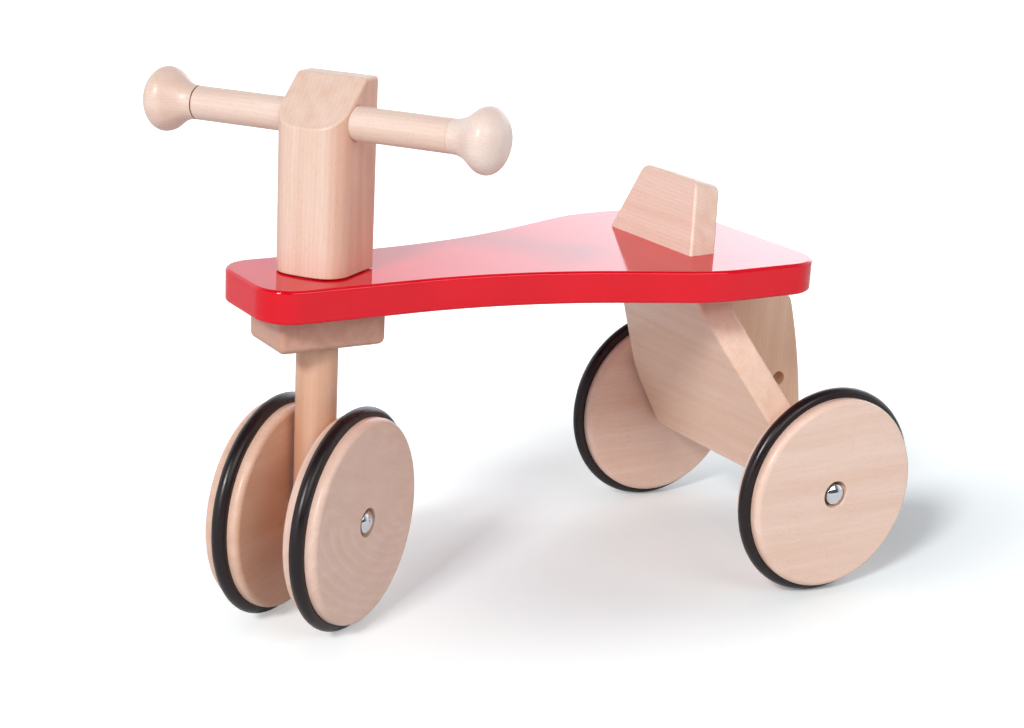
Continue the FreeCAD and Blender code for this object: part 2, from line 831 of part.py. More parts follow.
os.makedirs("parts", exist_ok=True)
pieces = chassis_pieces()
for node, shape in steering_pieces().items():
    pieces[node] = turned(shape)
pieces.update(sided_pieces(1, "left"))
pieces.update(sided_pieces(-1, "right"))
for node, shape in pieces.items():
    solids = shape.Solids
    if not solids or not shape.isValid():
        raise ValueError(node + " is not a valid solid")
    shape.exportStep("parts/" + node + ".step")
    print(node, len(solids), round(shape.Volume))
print("steering axis", round(steering_x, 3), "rear axle", round(rear_axle_x, 3))
print("axle height", axle_height, "wheel centres", rear_track / 2, front_track / 2)
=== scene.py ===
import math

import bmesh
import bpy
from mathutils import Matrix, Vector


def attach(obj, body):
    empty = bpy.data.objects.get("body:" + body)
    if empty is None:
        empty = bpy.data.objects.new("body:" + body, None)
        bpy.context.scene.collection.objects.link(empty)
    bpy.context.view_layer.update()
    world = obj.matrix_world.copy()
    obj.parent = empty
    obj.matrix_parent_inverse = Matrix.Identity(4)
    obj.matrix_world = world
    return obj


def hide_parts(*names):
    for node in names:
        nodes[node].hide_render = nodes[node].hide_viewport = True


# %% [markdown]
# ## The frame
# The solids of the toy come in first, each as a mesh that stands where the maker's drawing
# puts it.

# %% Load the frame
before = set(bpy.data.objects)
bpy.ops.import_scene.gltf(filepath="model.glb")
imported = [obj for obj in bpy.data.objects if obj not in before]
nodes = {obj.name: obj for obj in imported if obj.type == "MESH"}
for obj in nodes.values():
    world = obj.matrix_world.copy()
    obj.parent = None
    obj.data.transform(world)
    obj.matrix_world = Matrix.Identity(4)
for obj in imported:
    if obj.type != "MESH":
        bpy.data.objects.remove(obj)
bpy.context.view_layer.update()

# %% [markdown]
# ## The measures
# A wooden toy is drawn in millimetres, so this lesson is too, and each finished mesh is
# brought to metres at the very end. These are the sizes that several pieces share.

# %% Shared measures in millimetres
wheel_radius = 82.5
axle_height = wheel_radius
rear_axle_x = -196.163
post_x = 186.637
rest_turn = 34.6
rear_track = 232.0
front_track = 62.5
board_top = 262.5
board_thickness = 24.0
board_bottom = board_top - board_thickness
print("wheelbase", round(post_x - rear_axle_x, 1), "mm")

# %% [markdown]
# ## The camera
# The photo was taken from the front left, a little above the toy, with a long lens. The
# camera's place was worked out from the outlines of the wheels and the board. A camera looks
# along its own minus Z, so its matrix is built from the three directions that it sees as
# right, up and back. A constraint could aim it too, but would leave out the photo's slight roll.

# %% Camera
def into_scene(name, data):
    """A new object that shows this data in the scene."""
    made = bpy.data.objects.new(name, data)
    bpy.context.scene.collection.objects.link(made)
    return made


def camera_matrix(place, heading, tilt, roll):
    """Where a camera stands (m) and how it is turned: heading, tilt and roll in radians."""
    ahead = Vector((math.cos(heading) * math.cos(tilt), math.sin(heading) * math.cos(tilt), math.sin(tilt)))
    right = ahead.cross(Vector((0, 0, 1))).normalized()
    up = right.cross(ahead)
    turn = Matrix.Rotation(-roll, 3, ahead)
    columns = Matrix((turn @ right, turn @ up, -ahead)).transposed()
    return Matrix.Translation(place) @ columns.to_4x4()


camera_place = (0.760452, 1.187884, 0.597533)
camera_data = bpy.data.cameras.new("camera")
camera_data.lens = 67.89
camera_data.sensor_width = 36.0
camera = into_scene("camera", camera_data)
camera.matrix_world = camera_matrix(camera_place, heading=4.1572, tilt=-0.2930, roll=0.05304)
bpy.context.scene.camera = camera
bpy.context.scene.view_settings.view_transform = "Standard"
print("lens", round(camera_data.lens, 2), "mm")

# %% [markdown]
# ## A drawing hand
# Nearly every piece of this toy starts as an outline of straight runs and tangent arcs, as a
# carpenter draws it with ruler and compass. This helper does the same with mesh operators:
# a run pulls a new point out of the last one, and a bend spins the last point about the
# centre of its arc. Positive bends go to the left. A curve object could hold the outline as
# well, but a mesh can be filled, pulled and spun at once.

# %% Outline helper
class Outline:
    """A line drawn from a start point (mm) and a heading (degrees), one stretch at a time."""

    def __init__(self, x, y, heading):
        self.mesh = bmesh.new()
        self.tip = self.mesh.verts.new((x, y, 0))
        self.heading = math.radians(heading)

    def ahead(self):
        return Vector((math.cos(self.heading), math.sin(self.heading), 0))

    def turn(self, degrees):
        self.heading += math.radians(degrees)

    def run(self, length):
        grown = bmesh.ops.extrude_vert_indiv(self.mesh, verts=[self.tip])
        self.tip = grown["verts"][0]
        self.tip.co += self.ahead() * length

    def run_to(self, x, y):
        step = Vector((x, y, 0)) - self.tip.co
        self.heading = math.atan2(step.y, step.x)
        self.run(step.length)

    def swing(self, centre, degrees, steps):
        """Spins the last point about a centre and turns the heading with it."""
        arc = bmesh.ops.spin(self.mesh, geom=[self.tip], cent=centre, axis=(0, 0, 1),
                             angle=math.radians(degrees), steps=steps)
        self.tip = [part for part in arc["geom_last"] if isinstance(part, bmesh.types.BMVert)][0]
        self.turn(degrees)

    def bend(self, radius, degrees, steps):
        """An arc that leaves along the heading: to the left, or to the right if negative."""
        side = Vector((-math.sin(self.heading), math.cos(self.heading), 0))
        self.swing(self.tip.co + side * math.copysign(radius, degrees), degrees, steps)


print("outline helper ready")

# %% [markdown]
# ## From outline to plate and to turned piece
# A plate is its outline filled and pulled through its thickness. A turned piece is its half
# section spun about the lathe's axis, here X. Half an outline is enough for a plate that is
# the same left and right, because the mirror operator adds the other half and welds it.

# %% Plate, lathe and saw
def mirrored(outline):
    """Adds the other half of an outline, on the other side of X."""
    mesh = outline.mesh
    bmesh.ops.mirror(mesh, geom=mesh.verts[:] + mesh.edges[:], axis="Y", merge_dist=1e-3)
    bmesh.ops.remove_doubles(mesh, verts=mesh.verts, dist=1e-3)
    return mesh


def plate(mesh, thickness):
    """Fills a closed outline and pulls it up by its thickness."""
    filled = bmesh.ops.contextual_create(mesh, geom=mesh.edges[:])
    pulled = bmesh.ops.extrude_face_region(mesh, geom=filled["faces"])
    moved = [part for part in pulled["geom"] if isinstance(part, bmesh.types.BMVert)]
    bmesh.ops.translate(mesh, verts=moved, vec=(0, 0, thickness))
    bmesh.ops.recalc_face_normals(mesh, faces=mesh.faces[:])
    return mesh


def lathe(outline, steps):
    """Spins a half section in (along the axis, radius) round the X axis."""
    mesh = outline.mesh
    bmesh.ops.spin(mesh, geom=mesh.verts[:] + mesh.edges[:], cent=(0, 0, 0), axis=(1, 0, 0),
                   angle=math.tau, steps=steps, use_merge=True)
    bmesh.ops.remove_doubles(mesh, verts=mesh.verts, dist=1e-3)
    bmesh.ops.recalc_face_normals(mesh, faces=mesh.faces[:])
    return mesh


def saw(mesh, point, normal):
    """Saws off the side that the normal points to and closes the cut."""
    cut = bmesh.ops.bisect_plane(mesh, geom=mesh.verts[:] + mesh.edges[:] + mesh.faces[:], dist=1e-4,
                                 plane_co=point, plane_no=normal, clear_outer=True)
    edges = [part for part in cut["geom_cut"] if isinstance(part, bmesh.types.BMEdge)]
    bmesh.ops.contextual_create(mesh, geom=edges)
    bmesh.ops.recalc_face_normals(mesh, faces=mesh.faces[:])
    return mesh


print("plate, lathe and saw ready")

# %% [markdown]
# ## Putting a piece in its place
# Every piece is made lying at the drawing's origin, then set in its place. The whole front
# end is drawn straight ahead and turned to the left about the post, as it stands in the
# photo. Both go into the mesh and not on the object, so that the wood's pattern, which reads
# the object's own coordinates, stays where it is on the piece.

# %% Placing
def place(mesh, origin, x_axis=(1, 0, 0), y_axis=(0, 1, 0)):
    """Sets a mesh by the directions that its X and Y should take."""
    x_axis, y_axis = Vector(x_axis), Vector(y_axis)
    columns = Matrix((x_axis, y_axis, x_axis.cross(y_axis))).transposed()
    bmesh.ops.transform(mesh, matrix=Matrix.Translation(origin) @ columns.to_4x4(), verts=mesh.verts)
    return mesh


def turned(mesh):
    """Turns a mesh with the steering, as it stands in the photo."""
    bmesh.ops.rotate(mesh, cent=(post_x, 0, 0), matrix=Matrix.Rotation(math.radians(rest_turn), 3, "Z"),
                     verts=mesh.verts)
    return mesh


print("placing ready")

# %% [markdown]
# ## Finishing a piece
# A round-over bit leaves the same radius on every edge, so the edges are marked for the bevel
# with a weight: a shallow edge needs less setback than a square one. A weighted normal keeps
# the large flat faces flat next to their rounded edges. The finished piece rides on its body
# and stands in for the solid of the same name.

# %% Finishing
def mark_edges(mesh, wanted):
    """Gives each edge its share of the setback: all, part of it or none, which stays crisp."""
    share = mesh.edges.layers.float.new("bevel_weight_edge")
    for edge in mesh.edges:
        angle = edge.calc_face_angle(0.0)
        if angle > math.radians(28):
            edge[share] = min(1.0, math.tan(angle / 2)) * wanted(edge)
            edge.smooth = wanted(edge) > 0


def finish_piece(mesh, name, body, material, edge_radius=0.0, wanted=lambda edge: True):
    """Turns a mesh in millimetres into a piece that rides on its body in place of its solid."""
    bmesh.ops.remove_doubles(mesh, verts=mesh.verts, dist=1e-4)
    bmesh.ops.recalc_face_normals(mesh, faces=mesh.faces[:])
    if edge_radius:
        mark_edges(mesh, wanted)
    bmesh.ops.scale(mesh, vec=(0.001, 0.001, 0.001), verts=mesh.verts)
    for face in mesh.faces:
        face.smooth = True
    data = bpy.data.meshes.new(name)
    mesh.to_mesh(data)
    mesh.free()
    data.materials.append(material)
    piece = into_scene(name, data)
    if edge_radius:
        bevel = piece.modifiers.new("round_over", "BEVEL")
        bevel.limit_method = "WEIGHT"
        bevel.width = edge_radius / 1000
        bevel.segments = 7
        bevel.use_clamp_overlap = False
        bevel.miter_outer = "MITER_SHARP"
    weighted = piece.modifiers.new("flat_faces", "WEIGHTED_NORMAL")
    weighted.keep_sharp = True
    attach(piece, body)
    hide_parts(name.removesuffix("_finish"))
    print(name, len(data.vertices), "points before rounding")
    return piece


print("finishing ready")

# %% [markdown]
# ## Drilling
# A round hole through a rounded plate is easiest as a boolean with a cylinder. The result is
# kept as the piece's mesh and the cylinder is thrown away, so nothing else stays in the scene.

# %% Drilling
def drill(piece, start, end, radius):
    """Drills a finished piece from start to end (mm) and keeps the result as its mesh."""
    start, end = Vector(start), Vector(end)
    bit = bmesh.new()
    bmesh.ops.create_cone(bit, cap_ends=True, segments=96, radius1=radius, radius2=radius,
                          depth=(end - start).length)
    aim = (end - start).to_track_quat("Z", "Y").to_matrix().to_4x4()
    bmesh.ops.transform(bit, matrix=Matrix.Scale(0.001, 4) @ Matrix.Translation((start + end) / 2) @ aim,
                        verts=bit.verts)
    data = bpy.data.meshes.new("drill_bit")
    bit.to_mesh(data)
    bit.free()
    for face in data.polygons:
        face.use_smooth = True
    tool = into_scene("drill_bit", data)
    cut = piece.modifiers.new("hole", "BOOLEAN")
    cut.operation = "DIFFERENCE"
    cut.solver = "EXACT"
    cut.object = tool
    piece.modifiers.remove(piece.modifiers["flat_faces"])
    graph = bpy.context.evaluated_depsgraph_get()
    drilled = bpy.data.meshes.new_from_object(piece.evaluated_get(graph), depsgraph=graph)
    piece.modifiers.clear()
    piece.data = drilled
    bpy.data.objects.remove(tool)
    piece.data.set_sharp_from_angle(angle=math.radians(40))
    weighted = piece.modifiers.new("flat_faces", "WEIGHTED_NORMAL")
    weighted.keep_sharp = True
    print(piece.name, "drilled", round(radius * 2, 2), "mm")


print("drill ready")

# %% [markdown]
# ## Colours and nodes
# Colours are written as the screen shows them and turned into the linear values that the
# renderer works with. One small function adds a node, sets it and links it, and every
# material below is built with it. Some inputs go by their number: a Map Range turns the span
# from 1 to 2 into the span from 3 to 4, and a Mix with share 0 goes from colour 6 to colour 7.

# %% Colour and node helpers
def linear(hex_code):
    """A colour of the screen, written in hex, as the linear values of the renderer."""
    shares = [int(hex_code[i:i + 2], 16) / 255 for i in (1, 3, 5)]
    return tuple(s / 12.92 if s <= 0.04045 else ((s + 0.055) / 1.055) ** 2.4 for s in shares) + (1.0,)


def add(tree, kind, inputs, **settings):
    """Adds a node: settings first, then for each input a value or the socket that feeds it."""
    made = tree.nodes.new("ShaderNode" + kind)
    for name, value in settings.items():
        setattr(made, name, value)
    for socket, value in inputs.items():
        if isinstance(value, bpy.types.NodeSocket):
            tree.links.new(value, made.inputs[socket])
        else:
            made.inputs[socket].default_value = value
    return made


def new_material(name):
    """A material with an empty node tree, and that tree."""
    material = bpy.data.materials.new(name)
    material.use_nodes = True
    material.node_tree.nodes.clear()
    return material, material.node_tree


print("white is", [round(c, 3) for c in linear("#FFFFFF")])

# %% [markdown]
# ## Beech
# Steamed beech, planed, sanded fine and given a thin satin varnish. The eye gets a pale
# pinkish tan, hair-fine pores that run with the grain, scattered short darker flecks, and soft
# lines where a growth ring comes to the surface. All of it is drawn in one block of wood whose
# X runs along the grain. A picture wrapped round each piece could not do that, but a pattern
# in space runs through the piece, so that the figure of a side goes on over the edge into the
# end, as in sawn wood. The block is moved to the middle of each piece and turned with it, and
# the pieces differ in their rings and tones. The same turn is given to the normal, which tells
# end grain from side grain.

# %% The block of wood
grain_up = (0, 90, 0)
grain_across = (0, 0, -90)


def into_block(tree, vector, heading, turn):
    """Turns a vector back to straight ahead, and from there so that the grain runs along X."""
    back = add(tree, "Mapping", {"Vector": vector, "Rotation": (0, 0, math.radians(-heading))})
    block = add(tree, "Mapping", {"Vector": back.outputs[0],
                                  "Rotation": [math.radians(angle) for angle in turn]})
    return back.outputs[0], block.outputs[0]


def facing(tree, part, start, full):
    """The share, from 0 to 1, by which a face looks along one axis of the block."""
    size = add(tree, "Math", {0: part}, operation="ABSOLUTE")
    share = add(tree, "MapRange", {0: size.outputs[0], 1: start, 2: full, 3: 0.0, 4: 1.0},
                interpolation_type="SMOOTHSTEP")
    return share.outputs[0]


print("grain runs along X, or is turned upright", grain_up, "or across", grain_across)

# %% [markdown]
# ## Two staves
# A wide disc is often glued from two staves. The wood above the seam then comes from elsewhere
# in the block, far from the pith, where the rings hardly show.

# %% Two staves
stave_jump, upper_fading = (0.4, 0.0, 0.35), -0.75


def two_staves(tree, block, seam):
    """Moves the wood above the seam (mm over the centre), and gives how strong rings show."""
    height = add(tree, "SeparateXYZ", {0: block})
    upper = add(tree, "Math", {0: height.outputs[2], 1: seam / 1000}, operation="GREATER_THAN")
    jump = add(tree, "VectorMath", {0: upper.outputs[0], 1: stave_jump}, operation="MULTIPLY")
    glued = add(tree, "VectorMath", {0: block, 1: jump.outputs[0]}, operation="ADD")
    strength = add(tree, "Math", {0: upper.outputs[0], 1: upper_fading, 2: 1.0},
                   operation="MULTIPLY_ADD")
    return glued.outputs[0], strength.outputs[0]


print("the upper stave's wood lies", stave_jump, "m away")

# %% [markdown]
# ## The figure
# Fibres and bands are noise whose cells are long with the grain and narrow across it, and the
# flecks are points in such cells. The cells are counted per metre. Real pores are a tenth of a
# millimetre wide, too fine to show here, so the fibres are drawn 0.7 mm wide and 14 mm long,
# and the flecks 0.9 by 4 mm. The growth rings are a wave about the pith, the middle of the
# stem. A pith far to the side gives straight streaks, and a near one gives arcs.

# %% The figure
fibre_cells = (70.0, 1500.0, 1500.0)
band_cells = (5.0, 110.0, 110.0)
fleck_cells = (260.0, 1150.0, 1150.0)


def wandering(tree, block):
    """The stem wanders by some millimetres over its length."""
    slow = add(tree, "Mapping", {"Vector": block, "Scale": (0.35, 1.0, 1.0)})
    drift = add(tree, "TexNoise", {"Vector": slow.outputs[0], "Scale": 11.0, "Detail": 1.5,
                                   "Roughness": 0.45})
    wander = add(tree, "VectorMath", {0: drift.outputs["Color"], 1: (0.0, 0.012, 0.012)},
                 operation="MULTIPLY")
    bent = add(tree, "VectorMath", {0: block, 1: wander.outputs[0]}, operation="ADD")
    return bent.outputs[0]


def streaks(tree, stem, cells, detail, roughness):
    """Light and dark that run with the grain."""
    space = add(tree, "Mapping", {"Vector": stem, "Scale": cells})
    noise = add(tree, "TexNoise", {"Vector": space.outputs[0], "Scale": 1.0, "Detail": detail,
                                   "Roughness": roughness})
    return noise.outputs["Fac"]


def flecks(tree, stem):
    """A short dark fleck in some of the cells, strongest in its middle."""
    space = add(tree, "Mapping", {"Vector": stem, "Scale": fleck_cells})
    cell = add(tree, "TexVoronoi", {"Vector": space.outputs[0], "Scale": 1.0})
    speck = add(tree, "MapRange", {0: cell.outputs["Distance"], 1: 0.14, 2: 0.38, 3: 1.0, 4: 0.0},
                interpolation_type="SMOOTHSTEP")
    picked = add(tree, "MapRange", {0: cell.outputs["Color"], 1: 0.52, 2: 0.72, 3: 0.0, 4: 0.24})
    share = add(tree, "Math", {0: speck.outputs[0], 1: picked.outputs[0]}, operation="MULTIPLY")
    return share.outputs[0]


def growth_rings(tree, stem, pith, gap):
    """Ring lines this far apart (mm) about a pith this far to the sides (m)."""
    about = add(tree, "VectorMath", {0: stem, 1: (0.0, pith[0], pith[1])}, operation="ADD")
    # The wave texture repeats every tau / 20 / scale metres, and the gap is in millimetres.
    ring = add(tree, "TexWave", {"Vector": about.outputs[0], "Scale": math.tau * 50 / gap,
                                 "Distortion": 1.0, "Detail": 2.0, "Detail Scale": 0.5},
               wave_type="RINGS", rings_direction="X", wave_profile="SAW")
    line = add(tree, "MapRange", {0: ring.outputs["Fac"], 1: 0.4, 2: 1.0, 3: 0.0, 4: 1.0})
    return line.outputs[0]


print("fibres are", round(1000 / fibre_cells[1], 2), "by", round(1000 / fibre_cells[0]), "mm")

# %% [markdown]
# ## From figure to wood
# The colour goes from pale to deep with the bands, and rings, fibres and flecks are laid over
# it. The faces that look across the block can be given a deeper, warmer tone. That is painted shade
# for sides that get less light, and on the head block it goes together with the side's own darker figure.
# Where a knob meets the bar, a thin dark line is painted as the shade in the joint's gap. The varnish is a
# weak clear coat.

# %% Beech
def beech(name, centre, heading=0.0, turn=(0, 0, 0), pith=(0.16, 0.03), rings=0.5, gap=3.0,
          pale="#F1D5C6", deep="#E9C6B2", line="#C4926E", seam=None, side_tone_and_shade=None, joint_shade=None):
    """Beech for a piece about this centre (mm); heading and turn bring its grain to X."""
    material, tree = new_material(name)
    where = add(tree, "TexCoord", {})
    place_in = add(tree, "VectorMath", {0: where.outputs["Object"], 1: [c / 1000 for c in centre]},
                   operation="SUBTRACT")
    back, block = into_block(tree, place_in.outputs[0], heading, turn)
    looks = add(tree, "SeparateXYZ", {0: into_block(tree, where.outputs["Normal"], heading, turn)[1]})
    end_grain = facing(tree, looks.outputs[0], 0.45, 0.9)
    ring_depth = add(tree, "MapRange", {0: end_grain, 3: 0.22 * rings, 4: 0.16 * rings + 0.02})
    if seam is not None:
        block, strength = two_staves(tree, block, seam)
        ring_depth = add(tree, "Math", {0: ring_depth.outputs[0], 1: strength}, operation="MULTIPLY")
    stem = wandering(tree, block)
    fibre = streaks(tree, stem, fibre_cells, 3.0, 0.6)
    band = add(tree, "MapRange", {0: streaks(tree, stem, band_cells, 2.0, 0.55),
                                  1: 0.3, 2: 0.7, 3: 0.0, 4: 1.0})
    ring = add(tree, "Math", {0: growth_rings(tree, stem, pith, gap), 1: ring_depth.outputs[0]},
               operation="MULTIPLY")
    pore = add(tree, "MapRange", {0: fibre, 1: 0.38, 2: 0.75, 3: 0.0, 4: 0.17})
    layers = [(ring.outputs[0], line), (pore.outputs[0], "#C9987A"), (flecks(tree, stem), "#A97452")]
    if joint_shade is not None:
        # The joint lies this far (mm) along the bar, and its line of painted shade is 1.2 mm wide.
        along_bar = add(tree, "SeparateXYZ", {0: back})
        joint = add(tree, "Math", {0: along_bar.outputs[1], 1: joint_shade / 1000, 2: 0.0006},
                    operation="COMPARE")
        layers.append((joint.outputs[0], "#6A4535"))
    colour = add(tree, "Mix", {0: band.outputs[0], 6: linear(pale), 7: linear(deep)}, data_type="RGBA")
    for share, tint in layers:
        colour = add(tree, "Mix", {0: share, 6: colour.outputs[2], 7: linear(tint)}, data_type="RGBA")
    # Painted shade: the faces that look across the block are multiplied by a deeper, warmer tone.
    if side_tone_and_shade is not None:
        colour = add(tree, "Mix", {0: facing(tree, looks.outputs[1], 0.3, 0.95),
                                   6: colour.outputs[2], 7: linear(side_tone_and_shade)},
                     data_type="RGBA", blend_type="MULTIPLY")
    bump = add(tree, "Bump", {"Height": fibre, "Strength": 0.08, "Distance": 0.0002})
    shine = add(tree, "MapRange", {0: fibre, 1: 0.3, 2: 0.7, 3: 0.36, 4: 0.48})
    wood = add(tree, "BsdfPrincipled", {"Base Color": colour.outputs[2], "Roughness": shine.outputs[0],
                                        "IOR": 1.5, "Normal": bump.outputs[0], "Coat Weight": 0.2,
                                        "Coat Roughness": 0.25})
    add(tree, "OutputMaterial", {"Surface": wood.outputs[0]})
    return material


print("beech ready")

# %% [markdown]
# ## Red lacquer
# The seat board is sprayed with a thick coloured lacquer and polished. The red under the shine
# is even, and the surface is smooth enough to mirror the head block and the stop sharply and
# to carry the bright wall behind the toy as a pale veil. One glossy layer gives that, and a
# clear coat on top would only make the veil stronger. Only a trace of the wood's fibre is left
# in it, which breaks the gloss a little. It is drawn 2.4 mm wide and 25 mm long, because the
# real one is too fine to show.

# %% Red lacquer
def red_lacquer():
    material, tree = new_material("red_gloss_lacquer")
    where = add(tree, "TexCoord", {})
    along = add(tree, "Mapping", {"Vector": where.outputs["Object"], "Scale": (40.0, 420.0, 420.0)})
    fibre = add(tree, "TexNoise", {"Vector": along.outputs[0], "Scale": 1.0, "Detail": 3.0,
                                   "Roughness": 0.6})
    cloud = add(tree, "TexNoise", {"Vector": where.outputs["Object"], "Scale": 14.0, "Detail": 2.0})
    tone = add(tree, "MapRange", {0: cloud.outputs["Fac"], 1: 0.3, 2: 0.7, 3: 0.0, 4: 1.0})
    colour = add(tree, "Mix", {0: tone.outputs[0], 6: linear("#E20420"), 7: linear("#DA031C")},
                 data_type="RGBA")
    bump = add(tree, "Bump", {"Height": fibre.outputs["Fac"], "Strength": 0.03, "Distance": 0.0002})
    gloss = add(tree, "MapRange", {0: fibre.outputs["Fac"], 1: 0.3, 2: 0.7, 3: 0.06, 4: 0.11})
    paint = add(tree, "BsdfPrincipled", {"Base Color": colour.outputs[2], "Roughness": gloss.outputs[0],
                                         "IOR": 1.42, "Normal": bump.outputs[0]})
    add(tree, "OutputMaterial", {"Surface": paint.outputs[0]})
    return material


red = red_lacquer()
print("red", [round(c, 3) for c in linear("#E20420")[:3]])

# %% [markdown]
# ## Rubber, metal and nylon
# The rings are black rubber cord: nearly black, smooth from its mould, with dust specks of
# about 1 mm and smears of about 17 mm that break the shine. The axle caps are pressed sheet
# steel with bright chrome. Axles and screws are duller metal. Bushes and spacers are natural
# white nylon, slightly cloudy. Metal and nylon share one recipe, a soft cloud that shifts both
# the tone and the polish, with patches of 3 mm on chrome, 1 mm on drawn steel, 2 mm on zinc and
# 8 mm in nylon.

# %% Rubber, metal and nylon
def rubber():
    material, tree = new_material("black_rubber")
    where = add(tree, "TexCoord", {})
    dust = add(tree, "TexNoise", {"Vector": where.outputs["Object"], "Scale": 900.0, "Detail": 2.0})
    smear = add(tree, "TexNoise", {"Vector": where.outputs["Object"], "Scale": 60.0, "Detail": 3.0})
    share = add(tree, "MapRange", {0: dust.outputs["Fac"], 1: 0.55, 2: 0.8, 3: 0.0, 4: 0.5})
    black = add(tree, "Mix", {0: share.outputs[0], 6: linear("#1C0F11"), 7: linear("#332427")},
                data_type="RGBA")
    dull = add(tree, "MapRange", {0: smear.outputs["Fac"], 1: 0.3, 2: 0.7, 3: 0.24, 4: 0.40})
    bump = add(tree, "Bump", {"Height": dust.outputs["Fac"], "Strength": 0.12, "Distance": 0.0002})
    skin = add(tree, "BsdfPrincipled", {"Base Color": black.outputs[2], "Roughness": dull.outputs[0],
                                        "IOR": 1.45, "Normal": bump.outputs[0]})
    add(tree, "OutputMaterial", {"Surface": skin.outputs[0]})
    return material


def clouded(name, light, dark, smooth, rough, scale, detail, shader):
    """A material whose tone and polish cloud softly between two values."""
    material, tree = new_material(name)
    where = add(tree, "TexCoord", {})
    haze = add(tree, "TexNoise", {"Vector": where.outputs["Object"], "Scale": scale, "Detail": detail})
    tone = add(tree, "Mix", {0: haze.outputs["Fac"], 6: linear(light), 7: linear(dark)}, data_type="RGBA")
    polish = add(tree, "MapRange", {0: haze.outputs["Fac"], 1: 0.3, 2: 0.7, 3: smooth, 4: rough})
    shell = add(tree, "BsdfPrincipled", {"Base Color": tone.outputs[2], "Roughness": polish.outputs[0],
                                         **shader})
    add(tree, "OutputMaterial", {"Surface": shell.outputs[0]})
    return material


bare_metal, plastic = {"Metallic": 1.0}, {"IOR": 1.53}
black_rubber = rubber()
chrome = clouded("bright_chrome", "#E6E6EA", "#D8D8DE", 0.05, 0.10, 300.0, 3.0, bare_metal)
steel = clouded("drawn_steel", "#C4C4C6", "#9C9C9E", 0.28, 0.42, 800.0, 3.0, bare_metal)
zinc = clouded("zinc_plate", "#CFCFCB", "#B4B4AE", 0.30, 0.45, 500.0, 3.0, bare_metal)
white_nylon = clouded("white_nylon", "#F2F0EB", "#E4E1DA", 0.38, 0.52, 120.0, 2.0, plastic)
print("materials", len(bpy.data.materials))

# %% [markdown]
# ## Seat board
# The board is sawn from a 24 mm plank: a narrow nose with round corners, a long waist for the
# legs, and a wide seat. Half of it is drawn from the nose back, mirrored and pulled through
# the board's thickness: one half makes sure that both sides are alike, and arcs that meet the
# straights smoothly give the lacquer clean reflections. All edges are then rounded over by
# 2.5 mm, as a router does.

# %% Seat board
nose_half_width, nose_length, nose_corner = 48.0, 108.0, 26.0
seat_half_width, seat_corner = 102.3, 30.0
waist_radius, shoulder_radius, flare = 450.0, 110.0, 21.0
board_rear_x, board_front_x = rear_axle_x + 7.0, post_x + 58.9
board_edge = 2.5

side = Outline(board_front_x, 0, 90)
side.run(nose_half_width - nose_corner)
side.bend(nose_corner, 90, 14)
side.run(nose_length - nose_corner)
side.bend(waist_radius, -flare, 20)
gained = (waist_radius + shoulder_radius) * (1 - math.cos(math.radians(flare)))
side.run((seat_half_width - nose_half_width - gained) / math.sin(math.radians(flare)))
side.bend(shoulder_radius, flare, 10)
side.run(side.tip.co.x - board_rear_x - seat_corner)
side.bend(seat_corner, 90, 16)
side.run(side.tip.co.y)
board = place(plate(mirrored(side), board_thickness), (0, 0, board_bottom))
finish_piece(board, "seat_board_finish", "chassis", red, board_edge)

# %% [markdown]
# ## Seat stop
# The low block behind the rider leans back and tapers to a short level top with rounded
# corners. It is drawn lying down as half an outline, up the block and across it, and stood up
# by the directions that its two axes take, so that its corners stay true arcs. Its foot is
# sawn off level with the board, and only the edges above the foot are rounded. Its grain runs
# from side to side.

# %% Seat stop
lean, taper, below_foot = math.radians(-15.3), 19.5, 5.0
stop_length = 53.5 / math.cos(lean)
stop_half_width, stop_corner, stop_thickness, stop_edge = 54.5, 9.0, 24.0, 2.5
stop_foot = (rear_axle_x + 101, 0, board_top)

side = Outline(-below_foot, 0, 90)
side.run(stop_half_width + below_foot * math.tan(math.radians(taper)))
side.turn(-90 - taper)
setback = stop_corner * math.tan(math.radians(90 - taper) / 2)
side.run((stop_length + below_foot) / math.cos(math.radians(taper)) - setback)
side.bend(stop_corner, taper - 90, 10)
side.run(side.tip.co.y)
stop = place(plate(mirrored(side), stop_thickness), stop_foot, (math.sin(lean), 0, math.cos(lean)))
saw(stop, (0, 0, board_top), (0, 0, -1))
finish_piece(stop, "seat_stop_finish", "chassis",
             beech("beech_stop", (-110, 0, 290), turn=grain_across, pith=(0.06, 0.12), rings=0.6),
             stop_edge, lambda edge: max(v.co.z for v in edge.verts) > board_top + 0.01)

# %% [markdown]
# ## Rear panel
# A wide plate carries the rear axle and leans forward under the board. It tapers towards the
# board. It is drawn too long and sawn level at the board and at its foot, because a slanted
# plate has no level edges of its own. Its two lower corners are rounded before its long edges,
# by a larger radius. It is wider than it is high, so its grain runs across.

# %% Rear panel
slope = math.radians(28.8)
up_slope = Vector((math.sin(slope), 0, math.cos(slope)))
panel_normal = Vector((math.cos(slope), 0, -math.sin(slope)))
panel_foot_z, panel_shoulder_z, panel_half_width = 71.0, 111.0, 98.5
panel_thickness, panel_flare, panel_shoulder = 24.0, 21.0, 115.0
panel_corner, panel_edge, overrun = 7.0, 3.0, 12.0


def up_panel(height):
    """How far up the panel's slope a height above the floor lies, counted from the axle."""
    return (height - axle_height) / math.cos(slope)


side = Outline(up_panel(panel_foot_z - overrun), 0, 90)
side.run(panel_half_width)
side.turn(-90)
side.run(up_panel(panel_shoulder_z) - side.tip.co.x)
side.bend(panel_shoulder, -panel_flare, 12)
side.run((up_panel(board_bottom + overrun) - side.tip.co.x) / math.cos(math.radians(panel_flare)))
side.run_to(side.tip.co.x, 0)
panel_front = Vector((rear_axle_x, 0, axle_height)) + panel_normal * panel_thickness / 2
panel = place(plate(mirrored(side), panel_thickness), panel_front, up_slope)
saw(panel, (0, 0, board_bottom), (0, 0, 1))
saw(panel, (0, 0, panel_foot_z), (0, 0, -1))


